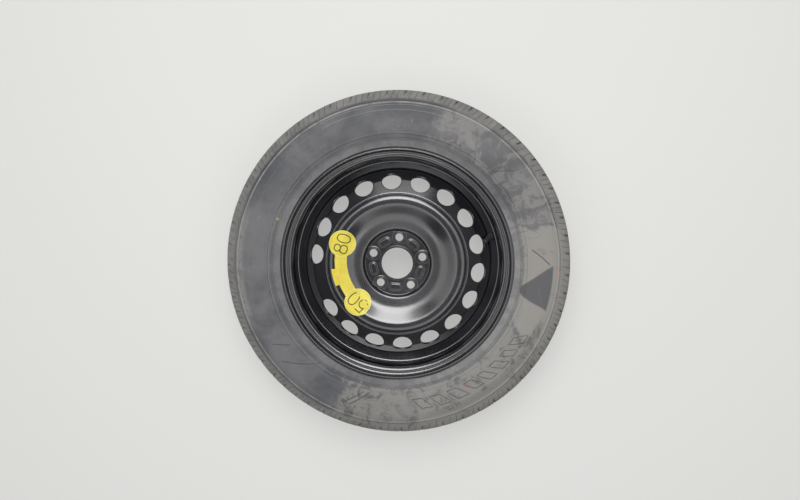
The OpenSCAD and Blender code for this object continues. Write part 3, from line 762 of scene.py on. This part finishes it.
def build_tyre():
    """The tyre: rows from the outer bead over the crown to the inner bead, and back through the hollow."""
    net = Net()
    turns, place = block_columns()
    count = len(turns)
    notch = (place == 1) | (place == 2)
    sipe = np.isin(place, (6, 7, 11, 12))
    coarse = np.repeat(np.arange(0, count, 4), 4)

    def row(rz, shift, fine=True):
        rz = np.asarray(rz, float)
        if rz.ndim == 1:
            rz = np.tile(rz, (count, 1))
        if fine:
            return net.add(spin(rz, 90 - turns - shift))
        pick = np.arange(0, count, 4)
        ids = net.add(spin(rz[pick], 90 - turns[pick] - shift))
        return ids[coarse // 4]

    def floor_of_notch(z):
        z = abs(z)
        if z <= NOTCH_END:
            return EDGE_R - 4.5 + (NOTCH_END - z) * math.tan(math.radians(26))
        if z <= 59.1:
            return EDGE_R - 4.5 - (z - NOTCH_END) * math.tan(math.radians(26))
        return EDGE_R - 7.23 - (z - 59.1) * math.tan(math.radians(40))

    def carved(p, n, s):
        """One fine row of the shoulder or crown, at p with outward normal n, with its notches and sipes."""
        rz = np.tile(p, (count, 1))
        depth = floor_of_notch(p[1])
        rz[notch, 0] = np.minimum(rz[notch, 0], depth)
        if s:
            rz[sipe] -= n * s
        return rz

    # sidewall rows: radius and lift, fine rings among them
    marks = [(256.2, 0.5, -0.45), (265.2, 0.55, 0.35), (326.2, 1.3, 0.35), (329.2, 0.45, -0.6)]
    radii = [239.4, 240.2, 241.4, 243, 245, 247.2, 249.4, 250.6, 251.4, 253]
    lifts = {250.6: 0.0, 251.4: -0.25}
    for m, w, h in marks:
        for d, f in ((-w - 0.4, 0), (-w, 1), (w, 1), (w + 0.4, 0)):
            radii.append(m + d)
            lifts[m + d] = h * f
    radii += [259, 261.5, 268.5, 272, 276, 280.5, 285, 290, 295, 300, 305, 309, 313, 317, 320.5, 323, 331.5]
    radii.sort()
    slant = math.degrees(math.tan(math.radians(28)) / 351)

    def shift(z):
        """Clockwise degrees by which the columns are turned at a height, as the shoulder slots slant."""
        if abs(z) < 36:
            return 1.5
        return (NOTCH_END - z) * slant if z > 0 else 3 - (NOTCH_END + z) * slant

    gap = [
        (GAP_R - 0.3, GAP_FLOOR), (GAP_R, GAP_FLOOR + 0.4), (GAP_R, LIP_Z - 2), (GAP_R, LIP_Z + 1.1),
        (GAP_R + 0.2, LIP_Z + 1.6),
    ]
    rows = [row(q, shift(72), fine=False) for q in gap]
    for r in radii:
        p, _ = side_at(r, lifts.get(r, 0.0))
        turned = shift(max(p[1], 72)) if r < 331 else shift(p[1])
        rows.append(row(p, turned, fine=r > 327.6))

    # shoulder and crown, from the outer side to the inner one
    crown = []
    shoulder = [333.5, 335.5, 337.5, 338.8, 340.4, 342.2, 344.2, 346.2, 347.8, 348.9]
    for r in shoulder:
        p, n = side_at(r)
        crown.append((p, n, 0.0 if r < 334 or r > 348.6 else 1.4))
    keep = (SIDE.p[:, 0] > 348.9) & (SIDE.p[:, 1] < EDGE_Z + 3.2)
    picked = np.where(keep)[0][:: max(1, keep.sum() // 7)]
    edge = [(SIDE.p[i], SIDE.n[i] if SIDE.n[i][0] > 0 else -SIDE.n[i]) for i in picked]
    edge = [e for e in edge if e[0][1] > NOTCH_END]
    crown += [(p, n, 1.2) for p, n in edge]

    def add_crown(z, depth=0.0, sipe_depth=0.0):
        crown.append((np.array([TYRE_R - z * z / CROWN - depth, z]), np.array([1.0, 0.0]), sipe_depth))

    for z in (52.5, 50, 47, 44.5, 42.6, 40.6, 39.4, 37.2):
        add_crown(z, sipe_depth=1.2 if 40 < z < 53 else 0.0)
    groove = [(3.5, 0.0), (3.0, 0.25), (2.75, 3.7), (2.3, 4.05)]
    for g in (33.0, 11.0):
        for off, depth in groove + [(-off, depth) for off, depth in groove[::-1]]:
            add_crown(g + off, depth)
        if g > 20:
            for z, sipe_depth in ((28.6, 0.0), (27.6, 1.5), (22, 1.5), (16.4, 1.5), (15.4, 0.0)):
                add_crown(z, sipe_depth=sipe_depth)
    add_crown(0.0)
    half = len(crown) - 1
    mirrored = [(np.array([p[0], -p[1]]), np.array([n[0], -n[1]]), s) for p, n, s in crown[:half]][::-1]
    full = crown + mirrored
    for p, n, s in full:
        rows.append(row(carved(p, n, s), shift(p[1])))

    # inner sidewall, plainer, mirrored from the outer one
    left_out = (241.4, 245, 249.4, 261.5, 272, 280.5, 290, 300, 309, 317, 323)
    for r in radii[::-1]:
        if r not in left_out:
            p, _ = side_at(r, lifts.get(r, 0.0))
            turned = shift(-max(p[1], 72)) if r < 331 else shift(-p[1])
            rows.append(row((p[0], -p[1]), turned, fine=r > 327.6))
    rows += [row((q[0], -q[1]), shift(-72), fine=False) for q in gap[::-1]]

    # beads and the hollow inside, mirrored about the middle
    pts, _ = bend_line(INNER, 11.0, 26.0)
    shell = [q for q in pts if q[1] < GAP_FLOOR or q[0] < LIP_R - 3] + [np.array([LIP_R - 0.77, GAP_FLOOR])]
    full_shell = [(q[0], -q[1]) for q in shell[::-1]] + [(q[0], q[1]) for q in shell[1:]]
    for i, q in enumerate(full_shell):
        t = i / (len(full_shell) - 1)
        rows.append(row(q, shift(-72) * (1 - t) + shift(72) * t, fine=False))
    rows.append(rows[0])
    net.rows(rows)
    tyre = net.mesh("tyre_body", RUBBER, sharp=40)
    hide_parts("tyre")


build_tyre()


# Raised and printed lines


def dense(path, closed=False, chord=2.5):
    """The same flat path with points no further apart than the chord."""
    path = [np.array(q, float) for q in path]
    out = []
    for a, b in zip(path, path[1:] + path[:1] if closed else path[1:]):
        k = max(1, math.ceil(np.hypot(*(b - a)) / chord))
        out += [a + (b - a) * j / k for j in range(k)]
    return np.array(out if closed else out + [path[-1]])


def stroke(net, path, width, lay, height, sink, closed=False):
    """A closed ribbon along flat points; lay puts flat points on their surface, lifted along its normal."""
    ahead = np.roll(path, -1, 0) - path
    if not closed:
        ahead[-1] = ahead[-2]
    behind = np.roll(ahead, 1, 0)
    if not closed:
        behind[0] = ahead[0]
    ahead /= np.linalg.norm(ahead, axis=1, keepdims=True)
    behind /= np.linalg.norm(behind, axis=1, keepdims=True)
    mid = ahead + behind
    mid /= np.linalg.norm(mid, axis=1, keepdims=True)
    mitre = 1 / np.maximum((mid * ahead).sum(1), 0.5)
    side = np.stack([-mid[:, 1], mid[:, 0]], -1) * (mitre * width / 2)[:, None]
    across = ((1, -sink), (0.85, height), (-0.85, height), (-1, -sink))
    rings = [net.add(lay(path + side * w, lift)) for w, lift in across]
    net.rows(rings + [rings[0]], closed)
    if not closed:
        net.faces += [[ring[0] for ring in rings], [ring[-1] for ring in rings[::-1]]]


def on_sidewall(mean):
    """Lays (millimetres round the wheel at the mean radius, radius) on the outer sidewall."""
    return lambda q, lift: spin(side_at(q[:, 1], lift)[0], 90 - np.degrees(q[:, 0] / mean))


def build_marks():
    """Plain bars, arcs, dots and cuts on the outer sidewall, in two tones: lighter raised lines, a painted
    highlight, and darker grooves and cuts, painted shade.
    """
    net, grooves = Net(), Net()
    mean = 288.0
    lay = on_sidewall(mean)

    def round_mm(turn):
        return math.radians(turn) * mean

    # plain slanted bars in outline, with a darker line inside each, painted shade
    bars = (
        (121.5, 4.6), (128, 4.2), (134, 4.6), (140.5, 4.2), (147, 5.0), (154.5, 5.4), (162, 5.4), (169.5, 5.4),
    )
    for k, (turn, wide) in enumerate(bars):
        top = 301.0 if k % 3 == 1 else 303.0
        slant = round_mm(1.9)
        for part, inset, width, height in ((net, (0.0, 0.0), 1.7, 0.8), (grooves, (2.4, 2.2), 1.5, 0.12)):
            x0, x1 = round_mm(turn - wide / 2) + inset[0], round_mm(turn + wide / 2) - inset[0]
            low, high = 276.0 + inset[1], top - inset[1]
            corners = [(x0 + slant, low), (x1 + slant, low), (x1 - slant, high), (x0 - slant, high)]
            stroke(part, dense(corners, True), width, lay, height, 0.4, True)

    # arcs and short ridges of the mould, lighter with a painted highlight, then slanted cuts, darker with
    # painted shade
    for radius, turn0, turn1, width, height in (
        (320.5, -28, 31, 0.8, 0.3), (310.5, -28, 31, 0.8, 0.3), (312, 111, 172, 0.7, 0.3),
        (268, 108, 176, 0.7, 0.3), (262, 30, 74, 0.7, 0.25), (262, 210, 300, 0.7, 0.25),
    ):
        ends = [(round_mm(turn0), radius), (round_mm(turn1), radius)]
        stroke(net, dense(ends, chord=4), width, lay, height, 0.4)
    for turn in np.arange(122, 145.5, 1.3):
        dash = np.array([(round_mm(turn - 0.25), 264.4), (round_mm(turn + 0.25), 264.4)])
        stroke(net, dash, 1.2, lay, 0.35, 0.4)
    for turn0, radius0, turn1, radius1 in (
        (83.4, 274, 89.6, 307), (192, 269, 199, 304), (194.5, 269, 201.5, 304), (218, 258, 230, 308),
        (233, 273, 237.6, 303), (45, 262, 51, 300),
    ):
        stroke(grooves, dense([(round_mm(turn0), radius0), (round_mm(turn1), radius1)]), 2.2, lay, 0.12, 0.4)
    for part, name, material in ((net, "tyre_ridges", RIDGE_HIGHLIGHT), (grooves, "tyre_grooves", SHADED)):
        part.mesh(name, material, sharp=30)


FILM_LINE = Line([
    ((DISC_PATH[4][0] + PAD_EDGE) / 2, PAD_C + 9.7, 0), *DISC_PATH[4:7],
    (STEP_END[0], STEP_END[1], 30),
    (STEP_END[0] + 8, STEP_END[1] - 8 * (STEP_END[1] - BROW[1]) / (BROW[0] - STEP_END[0]), 0)])
FILM_TOP = FILM_LINE.p + FILM_LINE.n * (HALF_T + 0.28)


def on_film(turn):
    """Lays (reading direction, outward) millimetres from the middle of a round end on the sticker's face."""
    a = math.radians(turn)

    def lay(q, lift):
        x = STICKER_X + (STICKER_R + q[:, 1]) * math.cos(a) + q[:, 0] * math.sin(a)
        y = STICKER_Y + (STICKER_R + q[:, 1]) * math.sin(a) - q[:, 0] * math.cos(a)
        z = np.interp(np.hypot(x, y), FILM_TOP[:, 0], FILM_TOP[:, 1])
        return np.stack([x, y, z + lift], -1)

    return lay


def oval(x, y, wide, tall, start=0.0, end=360.0, square=2.4, n=48):
    """Points of a rather square oval round (x, y), by angle."""
    t = np.radians(np.linspace(start, end, n))
    c, s = (np.sign(v) * np.abs(v) ** (2 / square) for v in (np.cos(t), np.sin(t)))
    return np.stack([x + wide * c, y + tall * s], -1)


# each digit's lines in millimetres from its middle, and whether a line is closed
FLAG_OF_FIVE = dense([(6.6, 13.2), (-5.4, 13.2), (-6.9, 0.8)])
DIGITS = {
    "0": [(oval(0, 0, 8.4, 13.2)[:-1], True)],
    "8": [(oval(0, 6.9, 7.0, 6.2)[:-1], True), (oval(0, -6.3, 8.4, 7.0)[:-1], True)],
    "5": [(np.concatenate([FLAG_OF_FIVE, oval(-0.4, -4.6, 8.4, 8.6, 138, -152, 2.1, 36)]), False)],
}


def build_numbers():
    """The plain numbers on the sticker's round ends."""
    net = Net()
    for turn, number in ROUND_ENDS.items():
        lay = on_film(turn)
        for digit, shift in zip(number, (-10.9, 10.9)):
            for path, closed in DIGITS[digit]:
                stroke(net, path + [shift, 0], 2.3, lay, 0.06, 0.02, closed)
    numbers = net.mesh("sticker_numbers", INK, sharp=30)


build_marks()
build_numbers()


# Stage, light and camera


def build_floor():
    """A pale floor under the wheel; half of what a camera or a reflection sees of it is its own glow."""
    mesh = bpy.data.meshes.new("floor")
    z, h = -0.0777, 4.0
    mesh.from_pydata([(-h, -h, z), (h, -h, z), (h, h, z), (-h, h, z)], [], [(0, 1, 2, 3)])
    obj = bpy.data.objects.new("floor", mesh)
    bpy.context.scene.collection.objects.link(obj)
    mat = bpy.data.materials.new("floor_paper")
    mat.use_nodes = True
    t = mat.node_tree
    t.nodes.clear()
    out = t.nodes.new("ShaderNodeOutputMaterial")
    mix = t.nodes.new("ShaderNodeMixShader")
    base = t.nodes.new("ShaderNodeBsdfDiffuse")
    glow = t.nodes.new("ShaderNodeEmission")
    path = t.nodes.new("ShaderNodeLightPath")
    seen = t.nodes.new("ShaderNodeMath")
    seen.operation = "MULTIPLY"
    seen.inputs[1].default_value = 0.5
    base.inputs["Color"].default_value = (0.78, 0.78, 0.76, 1)
    glow.inputs["Color"].default_value = (0.82, 0.82, 0.8, 1)
    glow.inputs["Strength"].default_value = 1.0
    ray = path.outputs["Is Camera Ray"]
    for other in ("Is Glossy Ray", "Is Transmission Ray"):
        either = t.nodes.new("ShaderNodeMath")
        either.operation = "MAXIMUM"
        t.links.new(ray, either.inputs[0])
        t.links.new(path.outputs[other], either.inputs[1])
        ray = either.outputs[0]
    t.links.new(ray, seen.inputs[0])
    t.links.new(seen.outputs[0], mix.inputs[0])
    t.links.new(base.outputs[0], mix.inputs[1])
    t.links.new(glow.outputs[0], mix.inputs[2])
    t.links.new(mix.outputs[0], out.inputs["Surface"])
    mesh.materials.append(mat)


def area(name, place, size, energy):
    """A soft rectangular lamp that points at the middle of the wheel."""
    data = bpy.data.lights.new(name, "AREA")
    data.shape = "RECTANGLE"
    data.size, data.size_y = size
    data.energy = energy
    obj = bpy.data.objects.new(name, data)
    obj.location = place
    obj.rotation_euler = (-Vector(place)).to_track_quat("-Z", "Y").to_euler()
    bpy.context.scene.collection.objects.link(obj)


def above(tilt, distance, turn=0.0):
    """A place over the wheel, tilted from straight above it towards a clockwise angle from the top."""
    a, b = math.radians(tilt), math.radians(turn)
    out = distance * math.sin(a)
    return (out * math.sin(b), out * math.cos(b), distance * math.cos(a))


build_floor()

# four lamps round the wheel, so that the enamel reflects a dark middle and a bright ring
for name, turn, tilt, reach, energy in (
    ("top", 0, 28, 1.5, 10.5), ("right", 90, 27, 1.7, 12),
    ("bottom", 180, 32, 1.5, 11), ("left", 270, 32, 1.55, 11),
):
    area(name, above(tilt, 2.6, turn), (2.2, reach), energy)
area("key", above(26, 2.4), (1.15, 1.35), 24)
area("ceiling", above(50, 2.5), (1.6, 0.4), 4.2)

world = bpy.data.worlds.new("studio")
bpy.context.scene.world = world
world.use_nodes = True
background = world.node_tree.nodes["Background"]
background.inputs["Color"].default_value = (1, 1, 1, 1)
background.inputs["Strength"].default_value = 0.1

# the photograph's camera: a little above and to the right of the middle, almost straight over the wheel
data = bpy.data.cameras.new("camera")
data.lens = 29.25
data.sensor_width = 36
data.clip_end = 50
camera = bpy.data.objects.new("camera", data)
right = (0.99864, -0.00456, -0.05195, 0)
up = (0.0, 0.99617, -0.08749, 0)
back = (0.05215, 0.08737, 0.99481, 0)
camera_place = (0.07668, 0.14591, 1.3773, 1)
camera.matrix_world = Matrix((right, up, back, camera_place)).transposed()
bpy.context.scene.collection.objects.link(camera)
bpy.context.scene.camera = camera
bpy.context.scene.view_settings.view_transform = "Standard"
